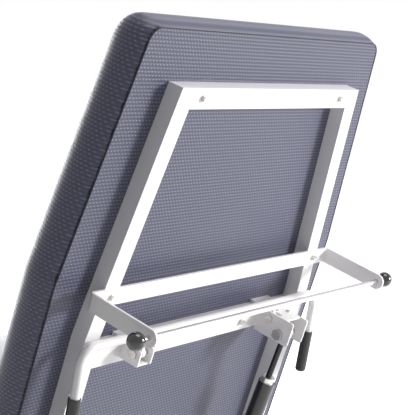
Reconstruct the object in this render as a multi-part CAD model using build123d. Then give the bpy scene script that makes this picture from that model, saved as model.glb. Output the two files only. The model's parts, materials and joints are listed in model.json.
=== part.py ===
from build123d import *
import math
import os

# Treatment couch with a raised backrest, a paper-roll holder and a gas spring.
# Millimetres. +X is right as seen from behind, +Y runs from the head to the foot, +Z is up.

# ---- overall pose -------------------------------------------------------------------
LEAN = 20.66              # backrest leans this far back from upright, degrees
HINGE_HEIGHT = 560.0      # hinge line above the floor

# ---- backrest, in its own frame: y = 0 is the back of the upholstery, z runs up it ---
HINGE_Y = -12.5
HINGE_Z = -240.0
PAD_TOP = 486.5
PAD_BOTTOM = -360.0
PAD_HALF_TOP = 297.0
PAD_HALF = 350.0
PAD_SHOULDER = 126.0      # height at which the taper starts
PAD_THICK = 85.0
PAD_CORNER = 28.0
PAD_EDGE = 30.0
COVER_T = 1.5
BOARD_T = 15.0
BOARD_INSET = 12.0

# ---- rectangular tube ----------------------------------------------------------------
TUBE_W = 30.0
TUBE_D = 25.0
WALL = 2.0
LEG_OUTER = 281.8         # outside half-width of the frame below the bend
LEG_BEND_Z = 49.0
LEG_TOP_OUTER = 229.6
FRAME_TOP = 409.0
LEG_END = -252.0

# ---- hinge ---------------------------------------------------------------------------
EAR_IN = 284.0
EAR_OUT = 291.0
EAR_R = 11.5
PIN_R = 5.0
RUN_FIT = 0.05            # radial clearance of a running fit
SHANK_FIT = 0.25          # radial clearance round a bolt shank

# ---- paper-roll holder ---------------------------------------------------------------
ROLL_HALF = 300.7
ROLL_T = 4.0
ROLL_Z = 112.5
ROLL_W = 25.0
ROLL_ROD_Y = -134.8
ROLL_ROD_R = 4.0
BALL_R = 12.5
BALL_X = 325.7

# ---- release bar ---------------------------------------------------------------------
BAR_R = 7.0
BAR_Y = -35.0
BAR_Z = 44.0
BAR_HALF = 296.0
BAR_BEND = 26.0
BAR_TILT = 8.6            # lean of the arms away from the frame, degrees
BAR_ARM = 140.0
GRIP_R = 9.0
GRIP_LEN = 74.0
RELEASE_Y = -47.5
RELEASE_Z = 23.5
RELEASE_PIN_R = 4.0
TAB_T = 6.0

# ---- gas spring ----------------------------------------------------------------------
SPRING_X = 169.5
SPRING_Y = -71.7
SPRING_Z = 6.9
SPRING_TILT = 2.235       # from the backrest's own down direction, degrees
SPRING_LEN = 280.0        # upper pin to lower pin
SPRING_TOP = 93.0         # upper pin to the top of the cylinder
CYL_R = 14.0
ROD_R = 5.0
LUG_PIN_R = 4.0
LUG_SLOT = 10.8           # sideways travel of the lower pin in its slot

# ---- base ----------------------------------------------------------------------------
POST_X = 306.0
RAIL_Z = 75.0             # height of the lower rails' centre line above the floor
RAIL_Y0 = -330.0
RAIL_Y1 = 1180.0
SEAT_Y0 = 151.0
SEAT_Y1 = 1300.0
SEAT_RAIL_Y0 = 165.0
SEAT_RAIL_Y1 = 1280.0
MID_POST_Y = 180.0
FOOT_POST_Y = 1120.0
FOOT_Y = (-295.0, 1145.0)
LOW = RAIL_Z - HINGE_HEIGHT
CROSS_Y = -10.0
CROSS_Z = -95.0

HINGE_LINE = Pos(0, 0, HINGE_HEIGHT)
BACKREST = HINGE_LINE * Rot(LEAN, 0, 0) * Pos(0, -HINGE_Y, -HINGE_Z)

nodes = {}


def block(x0, x1, y0, y1, z0, z1):
    """A box between two corners."""
    return Pos((x0 + x1) / 2, (y0 + y1) / 2, (z0 + z1) / 2) * Box(x1 - x0, y1 - y0, z1 - z0)


def rod_x(x0, x1, radius, y, z):
    """A round bar along X."""
    return Pos((x0 + x1) / 2, y, z) * Rot(0, 90, 0) * Cylinder(radius, x1 - x0)


def rod_y(y0, y1, radius, x, z):
    """A round bar along Y."""
    return Pos(x, (y0 + y1) / 2, z) * Rot(90, 0, 0) * Cylinder(radius, y1 - y0)


def flat_xz(points, y0, y1):
    """A flat outline in X and Z, thickened from y0 to y1."""
    ring = Wire.make_polygon([Vector(x, y0, z) for x, z in points], close=True)
    return extrude(Face(ring), amount=y1 - y0, dir=(0, 1, 0))


def flat_yz(points, x0, x1):
    """A flat outline in Y and Z, thickened from x0 to x1."""
    ring = Wire.make_polygon([Vector(x0, y, z) for y, z in points], close=True)
    return extrude(Face(ring), amount=x1 - x0, dir=(1, 0, 0))


def mirrored(shape):
    return mirror(shape, about=Plane.YZ)


def pair(shape):
    """The piece and its opposite-hand twin."""
    return Compound(children=[shape, mirrored(shape)])


def tube(x0, x1, y0, y1, z0, z1, run):
    """A straight rectangular tube, open at the ends of its run axis."""
    cut = {axis: WALL for axis in "xyz"}
    cut[run] = -1.0
    inner = block(x0 + cut["x"], x1 - cut["x"], y0 + cut["y"], y1 - cut["y"], z0 + cut["z"], z1 - cut["z"])
    return block(x0, x1, y0, y1, z0, z1) - inner


def hex_bolt(x, z, y_face, across, head, shank_r, length):
    """A hexagon bolt driven along +Y, with its washer against the face at y_face."""
    washer = rod_y(y_face - 1.5, y_face, across * 0.62, x, z)
    hexagon = Pos(x, y_face - 1.5, z) * Rot(90, 0, 0) * extrude(RegularPolygon(across / 2, 6, major_radius=False), head)
    return washer + hexagon + rod_y(y_face - 1.0, y_face + length, shank_r, x, z)


def cushion(outline, y0, thick, corner, edge):
    """An upholstered slab with rounded corners and a rounded front."""
    slab = flat_xz(outline, y0, y0 + thick)
    slab = fillet(slab.edges().filter_by(Axis.Y), corner)
    front = slab.faces().sort_by(Axis.Y)[-1]
    back = slab.faces().sort_by(Axis.Y)[0]
    slab = fillet(front.edges(), edge * 0.9)
    back = slab.faces().sort_by(Axis.Y)[0]
    return fillet(back.edges(), 4.0)


# =================================== backrest ========================================
PAD_OUTLINE = [
    (-PAD_HALF, PAD_BOTTOM),
    (PAD_HALF, PAD_BOTTOM),
    (PAD_HALF, PAD_SHOULDER),
    (PAD_HALF_TOP, PAD_TOP),
    (-PAD_HALF_TOP, PAD_TOP),
    (-PAD_HALF, PAD_SHOULDER),
]


def inset(points, amount):
    """The same outline drawn in by an amount on every side."""
    mid = (max(z for _, z in points) + min(z for _, z in points)) / 2
    half = max(z for _, z in points) - mid
    return [(x - math.copysign(amount, x), mid + (z - mid) * (half - amount) / half) for x, z in points]


def rounded_panel(points, y0, y1, corner):
    panel = flat_xz(points, y0, y1)
    return fillet(panel.edges().filter_by(Axis.Y), corner)


cover = rounded_panel(inset(PAD_OUTLINE, 7.0), 0, COVER_T, PAD_CORNER - 6)
board = rounded_panel(inset(PAD_OUTLINE, BOARD_INSET), COVER_T, COVER_T + BOARD_T, PAD_CORNER - 8)
pad = cushion(PAD_OUTLINE, 0, PAD_THICK, PAD_CORNER, PAD_EDGE) - cover - board

slope = (LEG_OUTER - LEG_TOP_OUTER) / (FRAME_TOP - LEG_BEND_Z)
face_w = TUBE_W * math.hypot(1, slope)


def leg_edge(z, outer=True):
    """X of the right leg's outer or inner edge above the bend."""
    x = LEG_OUTER - slope * (z - LEG_BEND_Z)
    return x if outer else x - face_w


BAR_BOTTOM = FRAME_TOP - TUBE_W
bend_in = LEG_BEND_Z - TUBE_W * slope / 2
leg_outline = [
    (LEG_OUTER, LEG_END),
    (LEG_OUTER, LEG_BEND_Z),
    (LEG_TOP_OUTER, FRAME_TOP),
    (leg_edge(BAR_BOTTOM, False), BAR_BOTTOM),
    (LEG_OUTER - TUBE_W, bend_in),
    (LEG_OUTER - TUBE_W, LEG_END),
]
leg_inner = [
    (LEG_OUTER - WALL, LEG_END - 1),
    (LEG_OUTER - WALL, LEG_BEND_Z),
    (LEG_TOP_OUTER - WALL * 1.6, FRAME_TOP - WALL * 2),
    (leg_edge(BAR_BOTTOM, False) + WALL, BAR_BOTTOM + WALL),
    (LEG_OUTER - TUBE_W + WALL, bend_in),
    (LEG_OUTER - TUBE_W + WALL, LEG_END - 1),
]
leg = flat_xz(leg_outline, -TUBE_D, 0)
leg = fillet(leg.edges().filter_by(Axis.Y).sort_by(Axis.Z)[2:4], 60.0)
leg -= flat_xz(leg_inner, -TUBE_D + WALL, -WALL)
leg -= rod_x(LEG_OUTER - TUBE_W - 1, LEG_OUTER + 1, PIN_R + RUN_FIT, HINGE_Y, HINGE_Z)

inner_x = leg_edge(BAR_BOTTOM, False)
top_bar = flat_xz(
    [(-LEG_TOP_OUTER, FRAME_TOP), (LEG_TOP_OUTER, FRAME_TOP), (inner_x, BAR_BOTTOM), (-inner_x, BAR_BOTTOM)],
    -TUBE_D,
    0,
)
top_bar -= block(2 * WALL - inner_x, inner_x - 2 * WALL, WALL - TUBE_D, -WALL, BAR_BOTTOM + WALL, FRAME_TOP - WALL)

CROSS_HALF = LEG_OUTER - TUBE_W
cross_tube = tube(-CROSS_HALF, CROSS_HALF, -TUBE_D, 0, 0, 30.0, "x")

# bolts: x, z, face they bear on
TOP_BOLTS = [(-179.0, 394.5), (179.0, 394.5)]
ROLL_BOLTS = [(-257.5, ROLL_Z), (257.5, ROLL_Z)]
LOW_BOLTS = [(-120.0, 15.0), (100.0, 15.0)]


def bolts(places, y_face, across, length):
    return [hex_bolt(x, z, y_face, across, 4.0, 3.0, length) for x, z in places]


def drilled(shape, places):
    for x, z in places:
        shape = shape - rod_y(-40.0, 13.0, 3.0 + SHANK_FIT, x, z)
    return shape


top_bar_bolts = bolts(TOP_BOLTS, -TUBE_D, 8.0, 36.0)
roll_bolts = bolts(ROLL_BOLTS, -TUBE_D - ROLL_T, 8.0, 40.0)
low_bolts = bolts(LOW_BOLTS, -TUBE_D, 8.0, 36.0)
all_places = TOP_BOLTS + ROLL_BOLTS + LOW_BOLTS
top_bar = drilled(top_bar, TOP_BOLTS)
cross_tube = drilled(cross_tube, LOW_BOLTS)
leg = drilled(leg, [ROLL_BOLTS[1]])
cover = drilled(cover, all_places)
board = drilled(board, all_places)

# paper-roll holder: one flat bar bent at both ends, with rounded tips
outer = block(-ROLL_HALF, ROLL_HALF, ROLL_ROD_Y - ROLL_W / 2, -TUBE_D, ROLL_Z - ROLL_W / 2, ROLL_Z + ROLL_W / 2)
outer = fillet(outer.edges().filter_by(Axis.Z).sort_by(Axis.Y)[-2:], 7.0)
hollow_half = ROLL_HALF - ROLL_T
hollow = block(-hollow_half, hollow_half, -200.0, -TUBE_D - ROLL_T, ROLL_Z - 20, ROLL_Z + 20)
hollow = fillet(hollow.edges().filter_by(Axis.Z).sort_by(Axis.Y)[-2:], 3.0)
tips = outer.edges().filter_by(Axis.X).sort_by(Axis.Y)[:2]
roll_bracket = fillet(tips, ROLL_W / 2 - 0.05) - hollow
roll_bracket -= rod_x(-ROLL_HALF - 1, ROLL_HALF + 1, ROLL_ROD_R + RUN_FIT, ROLL_ROD_Y, ROLL_Z)
roll_bracket = drilled(roll_bracket, ROLL_BOLTS)

roll_rod = rod_x(-BALL_X, BALL_X, ROLL_ROD_R, ROLL_ROD_Y, ROLL_Z)
ball = Pos(BALL_X, ROLL_ROD_Y, ROLL_Z) * Sphere(BALL_R) - rod_x(BALL_X - 20, BALL_X, ROLL_ROD_R, ROLL_ROD_Y, ROLL_Z)

# left bracket of the release shaft: a folded channel with a tab over the cross tube
SHEET = 3.0


def plate_profile(y_out, z0, z1, radius):
    """Side plate outline with its outer corners rounded, as a thin solid at x = 0."""
    plate = block(0, SHEET, y_out, -TUBE_D, z0, z1)
    return fillet(plate.edges().filter_by(Axis.X).sort_by(Axis.Y)[:2], radius)


def channel(x0, x1, y_out, z0, z1, radius, tab_x):
    """Two side plates joined by a web, with a tab that hooks over the tube."""
    shape = Pos(x0, 0, 0) * plate_profile(y_out, z0, z1, radius)
    shape += Pos(x1 - SHEET, 0, 0) * plate_profile(y_out, z0, z1, radius)
    shape += block(x0, x1, -TUBE_D - SHEET, -TUBE_D, z0, 33.0)
    shape += block(x0 + SHEET, x1 - SHEET, -TUBE_D - SHEET, HOOK_Y, TUBE_W, 33.0)
    return shape + block(tab_x[0], tab_x[1], HOOK_Y, 0, TUBE_W, 35.5)


LEFT_X = (-196.5, -165.5)
HOOK_Y = -10.0            # the hook over the tube starts here
TAB_LEFT_X = -184.0
TAB_RIGHT_X = 152.5
RIGHT_X = (147.0, 192.0)
shaft_bracket = channel(LEFT_X[0], LEFT_X[1], -60.0, 8.0, 33.0, 2.5, (-193.0, -175.0))
shaft_bracket += block(LEFT_X[0], LEFT_X[1], -57.5, -TUBE_D, 8.0, 8.0 + SHEET)
spring_bracket = channel(RIGHT_X[0], RIGHT_X[1], -93.0, -6.0, 35.0, 4.0, (152.0, 203.0))
spring_bracket += block(RIGHT_X[0], RIGHT_X[1], -78.0, -TUBE_D, 35.0 - SHEET, 35.0)
spring_bracket -= block(TAB_RIGHT_X - 1.2, TAB_RIGHT_X + TAB_T + 1.2, -62.0, -28.5, 28.0, 36.0)
release_hole = rod_x(-220, 220, RELEASE_PIN_R + SHANK_FIT, RELEASE_Y, RELEASE_Z)
shaft_bracket -= release_hole
spring_bracket -= release_hole
spring_bracket -= rod_x(RIGHT_X[0] - 5, RIGHT_X[1] + 5, ROD_R + SHANK_FIT, SPRING_Y, SPRING_Z)

tab_screws = []
for x, y in [(165.0, -45.0), (183.0, -56.0)]:
    head = Pos(x, y, 36.2) * Cylinder(3.4, 2.4)
    shank = Pos(x, y, 33.0) * Cylinder(2.0, 6.0)
    tab_screws.append(head + shank)
    spring_bracket -= Pos(x, y, 33.0) * Cylinder(2.0 + SHANK_FIT, 8.0)


def cross_bolt(x0, x1, radius, head_r, head_t, y, z):
    """A bolt along X with a hexagon head on one side and a nut on the other."""
    hexagon = extrude(RegularPolygon(head_r, 6), head_t)
    head = Pos(x1, y, z) * Rot(0, 90, 0) * hexagon
    nut = Pos(x0 - head_t, y, z) * Rot(0, 90, 0) * hexagon
    return rod_x(x0 - head_t, x1, radius, y, z) + head + nut


release_bolts = [
    cross_bolt(LEFT_X[0], LEFT_X[1], RELEASE_PIN_R, 7.0, 4.0, RELEASE_Y, RELEASE_Z),
    cross_bolt(RIGHT_X[0], RIGHT_X[1], RELEASE_PIN_R, 7.0, 4.0, RELEASE_Y, RELEASE_Z),
]
spring_pin = cross_bolt(RIGHT_X[0], RIGHT_X[1], ROD_R, 10.0, 6.0, SPRING_Y, SPRING_Z)

# release bar: a bent round bar with two welded tabs
tilt = math.radians(BAR_TILT)
down = Vector(0, -math.sin(tilt), -math.cos(tilt))
right_corner = Vector(BAR_HALF, BAR_Y, BAR_Z)
left_corner = Vector(-BAR_HALF, BAR_Y, BAR_Z)
corners = [left_corner + down * BAR_ARM, left_corner, right_corner, right_corner + down * BAR_ARM]
path = Wire(FilletPolyline(*corners, radius=BAR_BEND).edges())
section = Plane(origin=corners[0], z_dir=-down) * Circle(BAR_R)
release_bar = sweep(section, path=path)


def link_tab(x0, x1):
    """Flat tab from the bar down to its pivot."""
    across = Vector(0, BAR_Z - RELEASE_Z, RELEASE_Y - BAR_Y).normalized()
    ring = []
    for y, z, r in ((BAR_Y, BAR_Z, 6.0), (RELEASE_Y, RELEASE_Z, 7.5)):
        ring.append(((y - across.Y * r, z - across.Z * r), (y + across.Y * r, z + across.Z * r)))
    points = [ring[0][0], ring[0][1], ring[1][1], ring[1][0]]
    web = flat_yz(points, x0, x1)
    return web + rod_x(x0, x1, 7.5, RELEASE_Y, RELEASE_Z)


for x0 in (TAB_LEFT_X, TAB_RIGHT_X):
    release_bar += link_tab(x0, x0 + TAB_T)
release_bar -= rod_x(-200, 200, RELEASE_PIN_R + RUN_FIT, RELEASE_Y, RELEASE_Z)

arm_frame = Plane(origin=right_corner + down * BAR_ARM, x_dir=(1, 0, 0), z_dir=-down)
sleeve = Pos(0, 0, GRIP_LEN / 2 - 4.0) * Cylinder(GRIP_R, GRIP_LEN)
sleeve = fillet(sleeve.edges().sort_by(Axis.Z)[0], 6.0)
sleeve -= Pos(0, 0, GRIP_LEN / 2) * Cylinder(BAR_R, GRIP_LEN)
grip = arm_frame * sleeve

# gas spring, drawn downwards from its upper pin
STRUT = Pos(SPRING_X, SPRING_Y, SPRING_Z) * Rot(SPRING_TILT, 0, 0)
EYE_T = 12.0
LUG_R = 12.0
CYL_END = SPRING_LEN - 32.0
eye = rod_x(-EYE_T / 2, EYE_T / 2, 11.0, 0, 0) + Pos(0, 0, -8.0) * Cylinder(6.5, 14.0)
eye -= rod_x(-10, 10, ROD_R + RUN_FIT, 0, 0)
eye -= Pos(0, 0, -12.5) * Cylinder(ROD_R, 5.0)
piston = Pos(0, 0, -(10.0 + 172.0) / 2) * Cylinder(ROD_R, 162.0) + Pos(0, 0, -169.0) * Cylinder(11.6, 6.0)
barrel = Pos(0, 0, -(SPRING_TOP + CYL_END) / 2) * Cylinder(CYL_R, CYL_END - SPRING_TOP)
barrel = fillet(barrel.edges().sort_by(Axis.Z)[0], 4.0)
barrel -= Pos(0, 0, -(SPRING_TOP + CYL_END - 5.0) / 2) * Cylinder(12.0, CYL_END - 5.0 - SPRING_TOP)
collar = Pos(0, 0, -SPRING_TOP + 4.5) * Cylinder(11.0, 9.0) + Pos(0, 0, -SPRING_TOP - 4.0) * Cylinder(12.0, 8.0)
collar -= Pos(0, 0, -SPRING_TOP) * Cylinder(ROD_R + 0.1, 40.0)
lug = block(-5, 5, -LUG_SLOT - LUG_R, LUG_R, -SPRING_LEN - LUG_R, -SPRING_LEN + 14.0)
lug = fillet(lug.edges().filter_by(Axis.X), 8.0)
lug += Pos(0, 0, -CYL_END - 10.0) * Cylinder(7.0, 20.0)
SLOT_HALF = LUG_PIN_R + 1.4
lug -= block(-9, 9, -LUG_SLOT, 0, -SPRING_LEN - SLOT_HALF, -SPRING_LEN + SLOT_HALF)
lug -= rod_x(-9, 9, SLOT_HALF, 0, -SPRING_LEN)
lug -= rod_x(-9, 9, SLOT_HALF, -LUG_SLOT, -SPRING_LEN)

backrest_nodes = {
    "backrest_leg_right": leg,
    "backrest_leg_left": mirrored(leg),
    "backrest_top_bar": top_bar,
    "backrest_cross_tube": cross_tube,
    "top_bar_bolts": Compound(children=top_bar_bolts),
    "cross_tube_bolts": Compound(children=low_bolts),
    "backrest_cover": cover,
    "backrest_board": board,
    "backrest_pad": pad,
    "roll_bracket": roll_bracket,
    "roll_bracket_bolts": Compound(children=roll_bolts),
    "roll_rod": roll_rod,
    "ball_knob_right": ball,
    "ball_knob_left": mirrored(ball),
    "shaft_bracket": shaft_bracket,
    "spring_bracket": spring_bracket,
    "tab_screws": Compound(children=tab_screws),
    "release_bolts": Compound(children=release_bolts),
    "spring_pin": spring_pin,
    "release_bar": release_bar,
    "grip_right": grip,
    "grip_left": mirrored(grip),
    "rod_end": STRUT * eye,
    "piston_rod": STRUT * piston,
    "gas_cylinder": STRUT * barrel,
    "cylinder_collar": STRUT * collar,
    "cylinder_lug": STRUT * lug,
}
for name, shape in backrest_nodes.items():
    nodes[name] = BACKREST * shape

# ===================================== base ==========================================
# drawn about the hinge line, then lifted to its height
post_in = POST_X - TUBE_W / 2
post_out = POST_X + TUBE_W / 2
half_d = TUBE_D / 2
rail_top = LOW + 20.0
POST_TOP = -14.0

ear = block(EAR_IN, EAR_OUT, -EAR_R, EAR_R, -70.0, 0) + rod_x(EAR_IN, EAR_OUT, EAR_R, 0, 0)
ear -= rod_x(EAR_IN - 1, EAR_OUT + 1, PIN_R, 0, 0)
hinge_pin = rod_x(245.0, EAR_OUT, PIN_R, 0, 0) + rod_x(EAR_OUT, EAR_OUT + 5, 8.0, 0, 0)
washer = rod_x(LEG_OUTER + 0.3, EAR_IN, 10.0, 0, 0) - rod_x(270, 300, PIN_R, 0, 0)
hinge_nut = Pos(LEG_OUTER - TUBE_W - 6.8, 0, 0) * Rot(0, 90, 0) * extrude(RegularPolygon(8.5, 6), 6.5)
hinge_nut -= rod_x(230, 260, PIN_R, 0, 0)

head_post = tube(post_in, post_out, -half_d, half_d, rail_top, POST_TOP, "z")


def upright(y):
    return tube(post_in, post_out, y - half_d, y + half_d, rail_top, -half_d, "z")


lower_rail = tube(post_in, post_out, RAIL_Y0, RAIL_Y1, LOW - 20.0, LOW + 20.0, "y")
seat_rail = tube(post_in, post_out, SEAT_RAIL_Y0, SEAT_RAIL_Y1, -half_d, half_d, "y")
seat_cross = [tube(-post_in, post_in, y - 15, y + 15, -half_d, half_d, "x") for y in (MID_POST_Y + 5, FOOT_POST_Y)]
base_cross = [tube(-post_in, post_in, y - 15, y + 15, LOW - 20, LOW + 20, "x") for y in (-200.0, FOOT_POST_Y)]
spring_cross = tube(-post_in, post_in, CROSS_Y - half_d, CROSS_Y + half_d, CROSS_Z - 15, CROSS_Z + 15, "x")

# lower pin of the gas spring, in the base's frame
lean = math.radians(LEAN + SPRING_TILT)
upper_y = (SPRING_Y - HINGE_Y) * math.cos(math.radians(LEAN)) - (SPRING_Z - HINGE_Z) * math.sin(math.radians(LEAN))
upper_z = (SPRING_Y - HINGE_Y) * math.sin(math.radians(LEAN)) + (SPRING_Z - HINGE_Z) * math.cos(math.radians(LEAN))
LOWER_Y = upper_y + SPRING_LEN * math.sin(lean)
LOWER_Z = upper_z - SPRING_LEN * math.cos(lean)

cheek_y = (CROSS_Y - half_d, CROSS_Y + half_d)
cheek = [
    (cheek_y[1], CROSS_Z + 15),
    (cheek_y[1], CROSS_Z + 22),
    (LOWER_Y + 10, LOWER_Z + 10),
    (LOWER_Y - 10, LOWER_Z + 10),
    (LOWER_Y - 10, LOWER_Z - 10),
    (cheek_y[0], CROSS_Z + 15),
]
CHEEK_GAP = 7.0
clevis = flat_yz(cheek, SPRING_X + CHEEK_GAP, SPRING_X + CHEEK_GAP + 4.0)
clevis += flat_yz(cheek, SPRING_X - CHEEK_GAP - 4.0, SPRING_X - CHEEK_GAP)
sole = (SPRING_X - CHEEK_GAP - 4.0, SPRING_X + CHEEK_GAP + 4.0)
clevis += block(sole[0], sole[1], cheek_y[0], cheek_y[1], CROSS_Z + 15, CROSS_Z + 19)
clevis -= rod_x(SPRING_X - 20, SPRING_X + 20, LUG_PIN_R, LOWER_Y, LOWER_Z)
clevis_pin = rod_x(sole[0] - 2, sole[1], LUG_PIN_R, LOWER_Y, LOWER_Z)
clevis_pin += rod_x(sole[1], sole[1] + 3, 6.5, LOWER_Y, LOWER_Z)

SEAT_UNDER = half_d
seat_outline = [(-PAD_HALF, -SEAT_Y1), (PAD_HALF, -SEAT_Y1), (PAD_HALF, -SEAT_Y0), (-PAD_HALF, -SEAT_Y0)]
TO_SEAT = Pos(0, 0, SEAT_UNDER) * Rot(90, 0, 0)
seat_cover = rounded_panel(inset(seat_outline, 7.0), 0, COVER_T, PAD_CORNER - 6)
seat_board = rounded_panel(inset(seat_outline, BOARD_INSET), COVER_T, COVER_T + BOARD_T, PAD_CORNER - 8)
seat_pad = cushion(seat_outline, 0, PAD_THICK, PAD_CORNER, PAD_EDGE) - seat_cover - seat_board
SEAT_BOLT_AT = [(side * POST_X, -y) for side in (-1, 1) for y in (320.0, 980.0)]


def seat_drill(shape):
    for x, z in SEAT_BOLT_AT:
        shape = shape - rod_y(-40.0, 13.0, 3.0 + SHANK_FIT, x, z)
    return shape


seat_cover = seat_drill(seat_cover)
seat_board = seat_drill(seat_board)
seat_bolts = [TO_SEAT * hex_bolt(x, z, -TUBE_D, 11.0, 5.0, 3.0, 36.0) for x, z in SEAT_BOLT_AT]
hole = TO_SEAT * Compound(children=[rod_y(-40.0, 13.0, 3.0 + SHANK_FIT, x, z) for x, z in SEAT_BOLT_AT[2:]])
seat_rail -= hole

caps = []
for y0, y1 in ((RAIL_Y0 - 3, RAIL_Y0), (RAIL_Y1, RAIL_Y1 + 3)):
    caps.append(block(post_in, post_out, y0, y1, LOW - 20, LOW + 20))
for y0, y1 in ((SEAT_RAIL_Y0 - 3, SEAT_RAIL_Y0), (SEAT_RAIL_Y1, SEAT_RAIL_Y1 + 3)):
    caps.append(block(post_in, post_out, y0, y1, -half_d, half_d))
caps.append(block(post_in, post_out, -half_d, half_d, POST_TOP, POST_TOP + 2.0))
end_caps = caps + [mirrored(c) for c in caps]

FLOOR = -HINGE_HEIGHT
foot_parts = []
stem_parts = []
for side in (-1, 1):
    for y in FOOT_Y:
        foot = Pos(side * POST_X, y, FLOOR + 14.0) * Cylinder(24.0, 28.0)
        foot = fillet(foot.edges().sort_by(Axis.Z)[-1], 8.0)
        foot_parts.append(fillet(foot.edges().sort_by(Axis.Z)[0], 2.0))
        stem_parts.append(Pos(side * POST_X, y, (FLOOR + 28.0 + LOW - 20.0) / 2) * Cylinder(9.0, LOW - 20.0 - FLOOR - 28.0))

base_nodes = {
    "hinge_ears": pair(ear),
    "hinge_pins": pair(hinge_pin),
    "hinge_washers": pair(washer),
    "hinge_nuts": pair(hinge_nut),
    "head_posts": pair(head_post),
    "mid_posts": pair(upright(MID_POST_Y)),
    "foot_posts": pair(upright(FOOT_POST_Y)),
    "lower_rail_right": lower_rail,
    "lower_rail_left": mirrored(lower_rail),
    "seat_rail_right": seat_rail,
    "seat_rail_left": mirrored(seat_rail),
    "seat_cross_tubes": Compound(children=seat_cross),
    "base_cross_tubes": Compound(children=base_cross),
    "spring_cross_tube": spring_cross,
    "spring_clevis": clevis,
    "clevis_pin": clevis_pin,
    "seat_cover": TO_SEAT * seat_cover,
    "seat_board": TO_SEAT * seat_board,
    "seat_pad": TO_SEAT * seat_pad,
    "seat_bolts": Compound(children=seat_bolts),
    "end_caps": Compound(children=end_caps),
    "foot_stems": Compound(children=stem_parts),
    "feet": Compound(children=foot_parts),
}
for name, shape in base_nodes.items():
    nodes[name] = HINGE_LINE * shape

# ============================== origin and export ====================================
# the origin is the middle of the footprint, on the floor
boxes = [shape.bounding_box() for shape in nodes.values()]
low_y = min(box.min.Y for box in boxes)
high_y = max(box.max.Y for box in boxes)
CENTRE = Pos(0, -(low_y + high_y) / 2, 0)
nodes = {name: CENTRE * shape for name, shape in nodes.items()}

os.makedirs("parts", exist_ok=True)
for name, shape in nodes.items():
    export_step(shape, "parts/" + name + ".step")
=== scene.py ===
import bpy
import json
import math
from mathutils import Matrix, Vector


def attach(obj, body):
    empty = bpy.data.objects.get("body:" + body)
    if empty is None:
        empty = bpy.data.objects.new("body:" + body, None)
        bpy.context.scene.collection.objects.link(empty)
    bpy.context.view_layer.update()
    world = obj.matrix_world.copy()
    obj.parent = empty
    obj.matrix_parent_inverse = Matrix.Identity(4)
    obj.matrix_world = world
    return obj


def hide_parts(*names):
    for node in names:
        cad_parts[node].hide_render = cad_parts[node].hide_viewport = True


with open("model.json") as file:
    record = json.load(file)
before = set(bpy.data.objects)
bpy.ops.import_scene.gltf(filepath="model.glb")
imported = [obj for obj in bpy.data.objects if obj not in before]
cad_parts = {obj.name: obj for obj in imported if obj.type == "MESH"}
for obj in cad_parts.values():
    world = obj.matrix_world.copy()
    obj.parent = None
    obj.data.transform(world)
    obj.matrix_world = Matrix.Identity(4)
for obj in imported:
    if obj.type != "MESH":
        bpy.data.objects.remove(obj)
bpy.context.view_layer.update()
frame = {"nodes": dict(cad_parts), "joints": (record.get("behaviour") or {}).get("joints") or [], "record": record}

# ------------------------------------------------------------------ sizes, metres
MM = 0.001
BACKREST_LEAN = math.radians(20.66)
joints = {joint["name"]: joint for joint in frame["joints"]}
hinge = Vector(joints["backrest_hinge"]["pos_m"])
HINGE_FROM_BACK = 12.5 * MM      # the hinge line lies this far behind the upholstery
HINGE_BELOW_TUBE = 240.0 * MM    # and this far below the frame's cross tube
node_body = {n: body for body, names in frame["record"]["behaviour"]["bodies"].items() for n in names}

# from the backrest's own frame (y = 0 on the back of the upholstery, z up it) to the couch
BACKREST = (
    Matrix.Translation(hinge)
    @ Matrix.Rotation(BACKREST_LEAN, 4, "X")
    @ Matrix.Translation((0, HINGE_FROM_BACK, HINGE_BELOW_TUBE))
)

scene = bpy.context.scene
scene.view_settings.view_transform = "Standard"


# ------------------------------------------------------------------ small helpers
WELD_DISTANCE = 0.01 * MM
FLAT_ANGLE = math.radians(1)     # faces nearer to one plane than this become one face
EASED_ANGLE = math.radians(50)   # edges sharper than this are eased
SMOOTH_ANGLE = math.radians(35)


def deselect():
    if bpy.context.object and bpy.context.object.mode != "OBJECT":
        bpy.ops.object.mode_set(mode="OBJECT")
    bpy.ops.object.select_all(action="DESELECT")


def pick(obj):
    """Make obj the only one selected."""
    deselect()
    obj.select_set(True)
    bpy.context.view_layer.objects.active = obj
    return obj


def settle(obj, place=None):
    """Put the object's place into its mesh, so that the object sits at the origin."""
    if place is not None:
        obj.matrix_world = place @ obj.matrix_world
    pick(obj)
    bpy.ops.object.transform_apply(location=True, rotation=True, scale=True)
    return obj


def finish_piece(obj, name, body, stands_for=()):
    obj.name = name
    obj.data.name = name
    if stands_for:
        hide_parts(*stands_for)
    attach(obj, body)
    return obj


def apply_modifiers(obj):
    pick(obj)
    for modifier in list(obj.modifiers):
        bpy.ops.object.modifier_apply(modifier=modifier.name)


def merged_copy(node):
    """A welded copy of a CAD node's mesh in a new object."""
    source = frame["nodes"][node]
    obj = bpy.data.objects.new(node + "_finished", source.data.copy())
    scene.collection.objects.link(obj)
    pick(obj)
    bpy.ops.mesh.customdata_custom_splitnormals_clear()
    bpy.ops.object.mode_set(mode="EDIT")
    bpy.ops.mesh.select_all(action="SELECT")
    bpy.ops.mesh.remove_doubles(threshold=WELD_DISTANCE)
    bpy.ops.object.mode_set(mode="OBJECT")
    return obj


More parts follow.
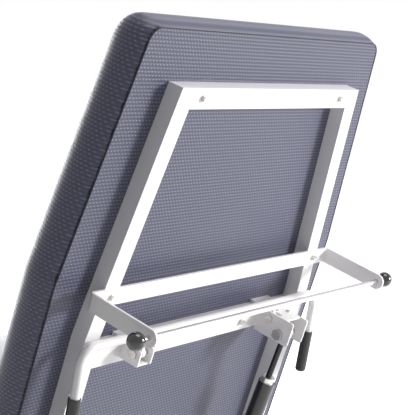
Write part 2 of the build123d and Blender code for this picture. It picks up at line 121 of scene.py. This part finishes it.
def eased_copy(node, material, radius):
    """A machined or folded part with its sharp edges eased as paint and tumbling leave them."""
    obj = merged_copy(node)
    if radius:
        pick(obj)
        bpy.ops.object.mode_set(mode="EDIT")
        bpy.ops.mesh.select_all(action="SELECT")
        bpy.ops.mesh.dissolve_limited(angle_limit=FLAT_ANGLE)
        bpy.ops.object.mode_set(mode="OBJECT")
        bevel = obj.modifiers.new("eased edges", "BEVEL")
        bevel.width = radius
        bevel.segments = 2
        bevel.limit_method = "ANGLE"
        bevel.angle_limit = EASED_ANGLE
        apply_modifiers(obj)
    pick(obj)
    bpy.ops.object.shade_smooth_by_angle(angle=SMOOTH_ANGLE)
    flat = obj.modifiers.new("flat faces stay flat", "WEIGHTED_NORMAL")
    flat.keep_sharp = True
    apply_modifiers(obj)
    obj.data.materials.clear()
    obj.data.materials.append(material)
    return finish_piece(obj, node + "_finished", node_body[node], [node])


# ------------------------------------------------------------------ shader groups
def new_group(name, inputs, outputs):
    group = bpy.data.node_groups.new(name, "ShaderNodeTree")
    for label, kind, value in inputs:
        socket = group.interface.new_socket(label, in_out="INPUT", socket_type=kind)
        if value is not None:
            socket.default_value = value
    for label, kind in outputs:
        group.interface.new_socket(label, in_out="OUTPUT", socket_type=kind)
    return group, group.nodes.new("NodeGroupInput"), group.nodes.new("NodeGroupOutput")


def math_node(tree, operation, *values):
    node = tree.nodes.new("ShaderNodeMath")
    node.operation = operation
    for socket, value in zip(node.inputs, values):
        if isinstance(value, bpy.types.NodeSocket):
            tree.links.new(value, socket)
        else:
            socket.default_value = value
    return node.outputs[0]


def make_dot_rows():
    """Rows of small raised pips: how far along and across each pip's cell a point lies."""
    group, inside, outside = new_group(
        "embossed pip rows",
        [
            ("Place", "NodeSocketVector", None),
            ("Across", "NodeSocketFloat", 0.007),
            ("Along", "NodeSocketFloat", 0.005),
            ("Size", "NodeSocketFloat", 0.34),
        ],
        [("Pip", "NodeSocketFloat"), ("Row", "NodeSocketFloat")],
    )
    split = group.nodes.new("ShaderNodeSeparateXYZ")
    group.links.new(inside.outputs["Place"], split.inputs[0])
    row = math_node(group, "DIVIDE", split.outputs[2], inside.outputs["Along"])
    odd = math_node(group, "MULTIPLY", math_node(group, "MODULO", math_node(group, "FLOOR", row), 2.0), 0.5)
    around = math_node(group, "ADD", split.outputs[0], split.outputs[1])
    column = math_node(group, "ADD", math_node(group, "DIVIDE", around, inside.outputs["Across"]), odd)
    u = math_node(group, "SUBTRACT", math_node(group, "FRACT", column), 0.5)
    v = math_node(group, "SUBTRACT", math_node(group, "FRACT", row), 0.5)
    u_sq = math_node(group, "MULTIPLY", u, u)
    v_sq = math_node(group, "MULTIPLY", math_node(group, "MULTIPLY", v, v), 1.6)
    distance = math_node(group, "SQRT", math_node(group, "ADD", u_sq, v_sq))
    fall = group.nodes.new("ShaderNodeMapRange")
    fall.interpolation_type = "SMOOTHSTEP"
    group.links.new(distance, fall.inputs["Value"])
    group.links.new(inside.outputs["Size"], fall.inputs["From Max"])
    fall.inputs["From Min"].default_value = 0.08
    fall.inputs["To Min"].default_value = 1.0
    fall.inputs["To Max"].default_value = 0.0
    ridge = group.nodes.new("ShaderNodeMapRange")
    ridge.interpolation_type = "SMOOTHSTEP"
    group.links.new(math_node(group, "ABSOLUTE", v), ridge.inputs["Value"])
    ridge.inputs["From Min"].default_value = 0.12
    ridge.inputs["From Max"].default_value = 0.5
    ridge.inputs["To Min"].default_value = 1.0
    ridge.inputs["To Max"].default_value = 0.0
    group.links.new(fall.outputs[0], outside.inputs["Pip"])
    group.links.new(ridge.outputs[0], outside.inputs["Row"])
    return group


def make_handling_marks():
    """Soft patches where hands and cloths have dulled a surface, and a fine overall ripple."""
    group, inside, outside = new_group(
        "handling marks",
        [
            ("Place", "NodeSocketVector", None),
            ("Patch scale", "NodeSocketFloat", 9.0),
            ("Ripple scale", "NodeSocketFloat", 420.0),
        ],
        [("Patch", "NodeSocketFloat"), ("Ripple", "NodeSocketFloat")],
    )
    for label, scale, detail in (("Patch", "Patch scale", 4.0), ("Ripple", "Ripple scale", 2.0)):
        noise = group.nodes.new("ShaderNodeTexNoise")
        noise.inputs["Detail"].default_value = detail
        group.links.new(inside.outputs["Place"], noise.inputs["Vector"])
        group.links.new(inside.outputs[scale], noise.inputs["Scale"])
        group.links.new(noise.outputs[0], outside.inputs[label])
    return group


PIP_ROWS = make_dot_rows()
HANDLING = make_handling_marks()


# ------------------------------------------------------------------ materials
def new_material(name):
    material = bpy.data.materials.new(name)
    material.use_nodes = True
    tree = material.node_tree
    return material, tree, tree.nodes["Principled BSDF"]


def object_place(tree, turn=(0, 0, 0)):
    coords = tree.nodes.new("ShaderNodeTexCoord")
    mapping = tree.nodes.new("ShaderNodeMapping")
    mapping.vector_type = "TEXTURE"
    mapping.inputs["Location"].default_value = hinge
    mapping.inputs["Rotation"].default_value = turn
    tree.links.new(coords.outputs["Object"], mapping.inputs["Vector"])
    return mapping.outputs[0]


def group_node(tree, group, place, **values):
    node = tree.nodes.new("ShaderNodeGroup")
    node.node_tree = group
    tree.links.new(place, node.inputs["Place"])
    for label, value in values.items():
        node.inputs[label.replace("_", " ")].default_value = value
    return node


def blend_colour(tree, factor, low, high):
    mix = tree.nodes.new("ShaderNodeMix")
    mix.data_type = "RGBA"
    tree.links.new(factor, mix.inputs["Factor"])
    for socket, value in ((mix.inputs[6], low), (mix.inputs[7], high)):
        if isinstance(value, bpy.types.NodeSocket):
            tree.links.new(value, socket)
        else:
            socket.default_value = (*value, 1)
    return mix.outputs[2]


def spread(tree, value, low, high):
    """A 0 to 1 value turned into the range low to high."""
    node = tree.nodes.new("ShaderNodeMapRange")
    tree.links.new(value, node.inputs["Value"])
    node.inputs["From Min"].default_value = 0.25
    node.inputs["From Max"].default_value = 0.75
    node.inputs["To Min"].default_value = low
    node.inputs["To Max"].default_value = high
    return node.outputs[0]


def add_bump(tree, shader, height, distance, strength=1.0):
    bump = tree.nodes.new("ShaderNodeBump")
    bump.inputs["Distance"].default_value = distance
    bump.inputs["Strength"].default_value = strength
    tree.links.new(height, bump.inputs["Height"])
    tree.links.new(bump.outputs[0], shader.inputs["Normal"])


def embossed_vinyl(name, turn, ground, pip, rough=0.42):
    """Upholstery vinyl pressed with rows of fine pips, shiny at a low angle, with painted shade in the grooves
    between rows and a painted highlight on the pips.
    """
    material, tree, shader = new_material(name)
    place = object_place(tree, turn)
    pips = group_node(tree, PIP_ROWS, place, Across=0.0066, Along=0.0051, Size=0.36)
    marks = group_node(tree, HANDLING, place, Patch_scale=5.0, Ripple_scale=700.0)
    deep = tuple(0.80 * c for c in ground)
    base = blend_colour(tree, marks.outputs["Patch"], deep, ground)
    # painted shade: the grooves between pip rows are darkened to 0.66 of the ground colour, where shade would fall
    # in them
    painted_valley_shade = blend_colour(tree, pips.outputs["Row"], tuple(0.66 * c for c in ground), base)
    # painted highlight: the pip tops take the lighter pip colour, standing in for light catching them
    colour = blend_colour(tree, pips.outputs["Pip"], painted_valley_shade, pip)
    tree.links.new(colour, shader.inputs["Base Color"])
    worn = spread(tree, marks.outputs["Patch"], rough - 0.04, rough + 0.08)
    tree.links.new(worn, shader.inputs["Roughness"])
    half_row = math_node(tree, "MULTIPLY", pips.outputs["Row"], 0.5)
    raised = math_node(tree, "ADD", pips.outputs["Pip"], half_row)
    height = math_node(tree, "ADD", raised, math_node(tree, "MULTIPLY", marks.outputs["Ripple"], 0.25))
    add_bump(tree, shader, height, 0.00035, 0.8)
    shader.inputs["Specular IOR Level"].default_value = 0.35
    shader.inputs["Sheen Weight"].default_value = 0.08
    return material


def gloss_enamel(name, colour, shade, rough=0.26):
    """Powder coat: a faint orange-peel ripple and slightly uneven gloss."""
    material, tree, shader = new_material(name)
    marks = group_node(tree, HANDLING, object_place(tree), Patch_scale=7.0, Ripple_scale=330.0)
    tree.links.new(blend_colour(tree, marks.outputs["Patch"], shade, colour), shader.inputs["Base Color"])
    tree.links.new(spread(tree, marks.outputs["Patch"], rough, rough + 0.10), shader.inputs["Roughness"])
    add_bump(tree, shader, marks.outputs["Ripple"], 0.00012, 0.5)
    shader.inputs["Coat Weight"].default_value = 0.25
    shader.inputs["Coat Roughness"].default_value = 0.12
    return material


def bare_metal(name, colour, shade, rough, grain=(1, 1, 1), ripple=0.00006):
    """Plated, polished or drawn steel, with its drawing lines or spangle."""
    material, tree, shader = new_material(name)
    place = object_place(tree)
    stretch = tree.nodes.new("ShaderNodeMapping")
    stretch.inputs["Scale"].default_value = grain
    tree.links.new(place, stretch.inputs["Vector"])
    marks = group_node(tree, HANDLING, stretch.outputs[0], Patch_scale=60.0, Ripple_scale=900.0)
    tree.links.new(blend_colour(tree, marks.outputs["Patch"], shade, colour), shader.inputs["Base Color"])
    tree.links.new(spread(tree, marks.outputs["Ripple"], rough, rough + 0.14), shader.inputs["Roughness"])
    add_bump(tree, shader, marks.outputs["Ripple"], ripple, 0.5)
    shader.inputs["Metallic"].default_value = 1.0
    return material


def moulded(name, colour, shade, rough, ripple_scale=500.0, ripple=0.0001, coat=0.0):
    """Moulded plastic or rubber."""
    material, tree, shader = new_material(name)
    marks = group_node(tree, HANDLING, object_place(tree), Patch_scale=30.0, Ripple_scale=ripple_scale)
    tree.links.new(blend_colour(tree, marks.outputs["Patch"], shade, colour), shader.inputs["Base Color"])
    tree.links.new(spread(tree, marks.outputs["Patch"], rough, rough + 0.08), shader.inputs["Roughness"])
    add_bump(tree, shader, marks.outputs["Ripple"], ripple, 0.6)
    shader.inputs["Coat Weight"].default_value = coat
    return material


def birch_ply(name):
    """Plywood: long grain with soft darker bands."""
    material, tree, shader = new_material(name)
    grain = tree.nodes.new("ShaderNodeMapping")
    grain.inputs["Scale"].default_value = (14.0, 1.0, 1.0)
    tree.links.new(object_place(tree), grain.inputs["Vector"])
    marks = group_node(tree, HANDLING, grain.outputs[0], Patch_scale=4.0, Ripple_scale=60.0)
    colour = blend_colour(tree, marks.outputs["Patch"], (0.40, 0.26, 0.13), (0.62, 0.45, 0.26))
    tree.links.new(colour, shader.inputs["Base Color"])
    add_bump(tree, shader, marks.outputs["Ripple"], 0.0002, 0.4)
    shader.inputs["Roughness"].default_value = 0.6
    return material


LEANING = (BACKREST_LEAN, 0, 0)
LYING = (math.radians(-90), 0, 0)
VINYL_GROUND = (0.088, 0.092, 0.150)
# the pip colour is a painted highlight on the raised pips, not a colour of the vinyl itself
VINYL_PIP_HIGHLIGHT = (0.190, 0.198, 0.275)
back_vinyl = embossed_vinyl("embossed vinyl, backrest", LEANING, VINYL_GROUND, VINYL_PIP_HIGHLIGHT)
seat_vinyl = embossed_vinyl("embossed vinyl, seat", LYING, VINYL_GROUND, VINYL_PIP_HIGHLIGHT)
white_enamel = gloss_enamel("white powder coat", (0.90, 0.89, 0.895), (0.86, 0.85, 0.855))
black_enamel = gloss_enamel("black cylinder enamel", (0.012, 0.011, 0.012), (0.008, 0.007, 0.008), 0.3)
zinc = bare_metal("bright zinc plate", (0.66, 0.65, 0.63), (0.50, 0.49, 0.48), 0.24)
bright_rod = bare_metal("drawn bright rod", (0.74, 0.72, 0.73), (0.62, 0.60, 0.61), 0.16, (0.05, 1, 1))
dark_rod = bare_metal("blackened piston rod", (0.045, 0.042, 0.045), (0.03, 0.028, 0.03), 0.22)
knob_gloss = moulded("black knob gloss", (0.010, 0.009, 0.010), (0.007, 0.006, 0.007), 0.10, coat=0.4)
grip_sleeve = moulded("black grip sleeve", (0.014, 0.013, 0.014), (0.010, 0.009, 0.010), 0.42, 800.0, 0.0002)
cap_plastic = moulded("white end cap", (0.78, 0.77, 0.77), (0.72, 0.71, 0.71), 0.4)
foot_rubber = moulded("black foot rubber", (0.030, 0.029, 0.030), (0.020, 0.019, 0.020), 0.7, 600.0, 0.0003)
plywood = birch_ply("birch plywood")

SLOT_MATERIAL = {
    "white_enamel": white_enamel,
    "plywood": plywood,
    "zinc": zinc,
    "chrome": bright_rod,
    "black_gloss": knob_gloss,
    "black_grip": grip_sleeve,
    "black_enamel": black_enamel,
    "black_nitride": dark_rod,
    "cap_plastic": cap_plastic,
    "foot_rubber": foot_rubber,
}


# ------------------------------------------------------------------ metal and moulded parts
PLAIN_EDGE = 0.5 * MM
PAINTED_EDGE = 0.9 * MM
FINE_EDGES = ("tab_screws", "hinge_washers", "roll_rod", "piston_rod", "ball_knob_right", "ball_knob_left")
for entry in frame["record"]["subparts"]:
    node = entry["node"]
    slot = entry["material_slot"]
    if slot in SLOT_MATERIAL:
        radius = 0.0 if node in FINE_EDGES else PLAIN_EDGE
        if slot == "white_enamel":
            radius = PAINTED_EDGE
        eased_copy(node, SLOT_MATERIAL[slot], radius)
for node, material in (("backrest_cover", back_vinyl), ("seat_cover", seat_vinyl)):
    cover = frame["nodes"][node]
    for material_slot in cover.material_slots:
        material_slot.link = "OBJECT"
        material_slot.material = material


# ------------------------------------------------------------------ cushions
VOXEL = 6.0 * MM
RELAX_STEPS = 6
RISE = 7.0 * MM                  # the front swells this far at its middle
RISE_FROM = 0.35                 # share of the depth where the swelling starts
BELLY = 7.0 * MM                 # the sides stand this much prouder at mid depth than at the seam
BELLY_BASE = 0.55                # share of that bulge taken off all over
DRAW_FROM = 18.0 * MM            # past this depth the cover is drawn in towards the front
DRAW_IN = 34.0 * MM
DRAW_POWER = 2.3


def crown(obj, place, half, depth, rise):
    """Swell the cushion's front, belly its sides and draw them in towards the front."""
    to_pad = place.inverted()
    for vertex in obj.data.vertices:
        p = to_pad @ vertex.co
        across = max(0.0, 1.0 - (p.x / half[0]) ** 2)
        along = max(0.0, 1.0 - ((p.z - half[2]) / half[1]) ** 2)
        front = max(0.0, min(1.0, (p.y - RISE_FROM * depth) / ((1.0 - RISE_FROM) * depth)))
        p.y += rise * front * across ** 0.5 * along ** 0.5
        belly = BELLY * (math.sin(math.pi * max(0.0, min(1.0, p.y / depth))) - BELLY_BASE)
        past = max(0.0, min(1.0, (p.y - DRAW_FROM) / (depth - DRAW_FROM)))
        belly -= DRAW_IN * past ** DRAW_POWER
        p.x *= 1.0 + belly / half[0]
        p.z = half[2] + (p.z - half[2]) * (1.0 + belly / half[1])
        vertex.co = place @ p


def cushion(node, name, body, place, material, half, middle, depth):
    obj = merged_copy(node)
    pick(obj)
    remesh = obj.modifiers.new("even skin", "REMESH")
    remesh.mode = "VOXEL"
    remesh.voxel_size = VOXEL
    smooth = obj.modifiers.new("relax", "SMOOTH")
    smooth.factor = 0.5
    smooth.iterations = RELAX_STEPS
    apply_modifiers(obj)
    crown(obj, place, (half[0], half[1], middle), depth, RISE)
    soft = obj.modifiers.new("fine skin", "SUBSURF")
    soft.levels = 1
    soft.render_levels = 1
    apply_modifiers(obj)
    pick(obj)
    bpy.ops.object.shade_smooth()
    obj.data.materials.clear()
    obj.data.materials.append(material)
    finish_piece(obj, name, body, [node])


SEAT_FRAME = Matrix.Translation(hinge + Vector((0, 0, HINGE_FROM_BACK)))
SEAT = SEAT_FRAME @ Matrix.Rotation(math.radians(90), 4, "X")
PAD_DEPTH = 85.0 * MM
BACK_HALF = (350.0 * MM, 423.0 * MM)
BACK_MIDDLE = 63.0 * MM
SEAT_HALF = (350.0 * MM, 574.5 * MM)
SEAT_MIDDLE = -725.5 * MM
cushion(
    "backrest_pad", "backrest_cushion", "backrest", BACKREST, back_vinyl,
    BACK_HALF, BACK_MIDDLE, PAD_DEPTH,
)
cushion("seat_pad", "seat_cushion", "base", SEAT, seat_vinyl, SEAT_HALF, SEAT_MIDDLE, PAD_DEPTH)


# ------------------------------------------------------------------ seams
PAD_HALF = 350.0 * MM
PAD_SHOULDER = 126.0 * MM        # the backrest narrows above this
PAD_TAPER = 53.0 / 360.5         # drop in half-width for each unit of height
SEAM_RADIUS = 0.9 * MM
BOLT_HOLES_WITHIN = 0.93         # bolt holes lie inside this share of the panel


def seam(node, name, body, place, material, radius):
    """The stitched line round the edge of a back panel, as a thin cord sunk in the join."""
    obj = merged_copy(node)
    back = place.to_3x3() @ Vector((0, -1, 0))
    pick(obj)
    bpy.ops.object.mode_set(mode="EDIT")
    bpy.ops.mesh.select_all(action="DESELECT")
    bpy.ops.mesh.select_mode(type="FACE")
    bpy.ops.object.mode_set(mode="OBJECT")
    for face in obj.data.polygons:
        face.select = face.normal.dot(back) < 0.9
    bpy.ops.object.mode_set(mode="EDIT")
    bpy.ops.mesh.delete(type="FACE")
    bpy.ops.mesh.select_all(action="SELECT")
    bpy.ops.mesh.region_to_loop()
    bpy.ops.mesh.select_all(action="INVERT")
    bpy.ops.mesh.delete(type="EDGE")
    bpy.ops.mesh.select_all(action="DESELECT")
    bpy.ops.mesh.select_mode(type="VERT")
    bpy.ops.object.mode_set(mode="OBJECT")
    places = [place.inverted() @ v.co for v in obj.data.vertices]
    low, high = (f(p.z for p in places) for f in (min, max))
    middle = (low + high) / 2
    for vertex, p in zip(obj.data.vertices, places):
        taper = max(0.0, p.z - PAD_SHOULDER) * PAD_TAPER
        edge = max(abs(p.x) / (PAD_HALF - taper), abs(p.z - middle) / (high - middle))
        vertex.select = edge < BOLT_HOLES_WITHIN
    bpy.ops.object.mode_set(mode="EDIT")
    bpy.ops.mesh.delete(type="VERT")
    bpy.ops.object.mode_set(mode="OBJECT")
    bpy.ops.object.convert(target="CURVE")
    obj = bpy.context.object
    obj.data.bevel_depth = radius
    obj.data.bevel_resolution = 1
    bpy.ops.object.convert(target="MESH")
    obj = bpy.context.object
    bpy.ops.object.shade_smooth()
    obj.data.materials.clear()
    obj.data.materials.append(material)
    return finish_piece(obj, name, body)


seam_thread = moulded("dark seam", (0.012, 0.012, 0.018), (0.008, 0.008, 0.012), 0.7)
seam("backrest_cover", "backrest_back_seam", "backrest", BACKREST, seam_thread, SEAM_RADIUS)
seam("seat_cover", "seat_under_seam", "base", SEAT, seam_thread, SEAM_RADIUS)


# ------------------------------------------------------------------ welds
BEAD_SWELL = 0.12                # a bead swells and narrows by this share of its radius
BEAD_RIPPLE = 1600.0             # radians of ripple to a metre of bead


def weld_bead(name, start, end, radius):
    """A painted weld bead between two points of the backrest frame."""
    start, end = Vector(start), Vector(end)
    run = end - start
    deselect()
    bpy.ops.mesh.primitive_cylinder_add(vertices=10, radius=radius, depth=run.length, end_fill_type="TRIFAN")
    bead = bpy.context.object
    bpy.ops.object.mode_set(mode="EDIT")
    bpy.ops.mesh.select_all(action="SELECT")
    bpy.ops.mesh.subdivide(number_cuts=3)
    bpy.ops.object.mode_set(mode="OBJECT")
    for vertex in bead.data.vertices:
        wave = 1.0 + BEAD_SWELL * math.sin(vertex.co.z * BEAD_RIPPLE)
        vertex.co.x *= wave
        vertex.co.y *= wave
    turn = run.to_track_quat("Z", "Y").to_matrix().to_4x4()
    bead.matrix_world = Matrix.Translation((start + end) / 2) @ turn
    settle(bead, BACKREST)
    bpy.ops.object.shade_smooth_by_angle(angle=math.radians(60))
    bead.data.materials.append(white_enamel)
    return finish_piece(bead, name, "backrest")


TUBE_BACK = -25.0 * MM
MITRE_TOP = (229.6 * MM, 408.8 * MM)
MITRE_LOW = (203.6 * MM, 379.2 * MM)
MITRE_BEAD = 0.35 * MM
CROSS_JOIN_X = 251.6 * MM
CROSS_TUBE_TOP = 30.0 * MM
CROSS_BEAD = 1.3 * MM
BEAD_INSET = 2.0 * MM            # the side beads stop this far short of the tube's faces
for side, word in ((-1, "left"), (1, "right")):
    weld_bead(
        "mitre_weld_" + word,
        (side * MITRE_TOP[0], TUBE_BACK, MITRE_TOP[1]),
        (side * MITRE_LOW[0], TUBE_BACK, MITRE_LOW[1]),
        MITRE_BEAD,
    )
    for label, z in (("upper", CROSS_TUBE_TOP), ("lower", 0.0)):
        weld_bead(
            "cross_weld_" + label + "_" + word,
            (side * CROSS_JOIN_X, TUBE_BACK + BEAD_INSET, z),
            (side * CROSS_JOIN_X, -BEAD_INSET, z),
            CROSS_BEAD,
        )

# ------------------------------------------------------------------ floor, light and camera
FLOOR_SIZE = 40.0
FLOOR_GAP = 0.5 * MM             # the floor lies this far under the feet
FLOOR_FILL = 0.95                # strength of the white that the camera sees on the floor
AMBIENT = 0.18                   # strength of the world light on the object
deselect()
bpy.ops.mesh.primitive_plane_add(size=FLOOR_SIZE, location=(0, 0, -FLOOR_GAP))
floor = bpy.context.object
floor.name = "floor"


def seen_white(tree):
    """1 for the rays that see the plain white backdrop, and 0 for those that light the object."""
    path = tree.nodes.new("ShaderNodeLightPath")
    total = math_node(tree, "ADD", path.outputs["Is Camera Ray"], path.outputs["Is Glossy Ray"])
    total = math_node(tree, "ADD", total, path.outputs["Is Transmission Ray"])
    return math_node(tree, "MINIMUM", total, 1.0)


floor_paint, tree, shader = new_material("pale floor")
shader.inputs["Roughness"].default_value = 0.9
marks = group_node(tree, HANDLING, object_place(tree), Patch_scale=2.0, Ripple_scale=50.0)
tree.links.new(
    blend_colour(tree, marks.outputs["Patch"], (0.78, 0.78, 0.78), (0.82, 0.82, 0.82)),
    shader.inputs["Base Color"],
)
shader.inputs["Emission Color"].default_value = (1, 1, 1, 1)
fill_amount = math_node(tree, "MULTIPLY", seen_white(tree), FLOOR_FILL)
tree.links.new(fill_amount, shader.inputs["Emission Strength"])
floor.data.materials.append(floor_paint)

world = bpy.data.worlds.new("studio")
scene.world = world
world.use_nodes = True
tree = world.node_tree
background = tree.nodes["Background"]
background.inputs["Color"].default_value = (1, 1, 1, 1)
backdrop_share = math_node(tree, "MULTIPLY", seen_white(tree), 1.0 - AMBIENT)
strength = math_node(tree, "ADD", backdrop_share, AMBIENT)
tree.links.new(strength, background.inputs["Strength"])


def soft_light(name, place, aim, size, power, colour=(1, 1, 1)):
    deselect()
    bpy.ops.object.light_add(type="AREA", location=place)
    lamp = bpy.context.object
    lamp.name = name
    lamp.data.shape = "RECTANGLE"
    lamp.data.size = size[0]
    lamp.data.size_y = size[1]
    lamp.data.energy = power
    lamp.data.color = colour
    lamp.rotation_euler = (Vector(aim) - Vector(place)).to_track_quat("-Z", "Y").to_euler()
    return lamp


aim = hinge + Vector((0, -0.15, 0.35))
soft_light("key light", hinge + Vector((2.1, -2.7, 0.75)), aim, (0.7, 0.7), 125, (1.0, 0.985, 0.97))
soft_light("top light", hinge + Vector((0.2, -0.9, 2.9)), aim, (1.6, 1.6), 38, (1.0, 0.96, 0.97))
backdrop = soft_light("backdrop light", hinge + Vector((1.9, 4.2, 0.9)), aim, (3.4, 3.0), 190)
backdrop.visible_camera = False

# camera, placed about the backrest hinge
CAMERA_FROM_HINGE = Vector((-1.4870, -1.2059, 0.5870))
CAMERA_RIGHT = Vector((0.5813, -0.8136, 0.0))
CAMERA_AHEAD = Vector((0.8104, 0.5790, -0.0897))
right = CAMERA_RIGHT.normalized()
up = right.cross(CAMERA_AHEAD).normalized()
ahead = up.cross(right).normalized()
camera_data = bpy.data.cameras.new("camera")
camera = bpy.data.objects.new("camera", camera_data)
scene.collection.objects.link(camera)
camera.matrix_world = Matrix.Translation(hinge + CAMERA_FROM_HINGE) @ Matrix(
    (
        (right.x, up.x, -ahead.x, 0),
        (right.y, up.y, -ahead.y, 0),
        (right.z, up.z, -ahead.z, 0),
        (0, 0, 0, 1),
    )
)
camera_data.sensor_width = 36.0
camera_data.lens = 106.06
camera_data.shift_x = -0.0434
camera_data.shift_y = 0.0067
scene.camera = camera
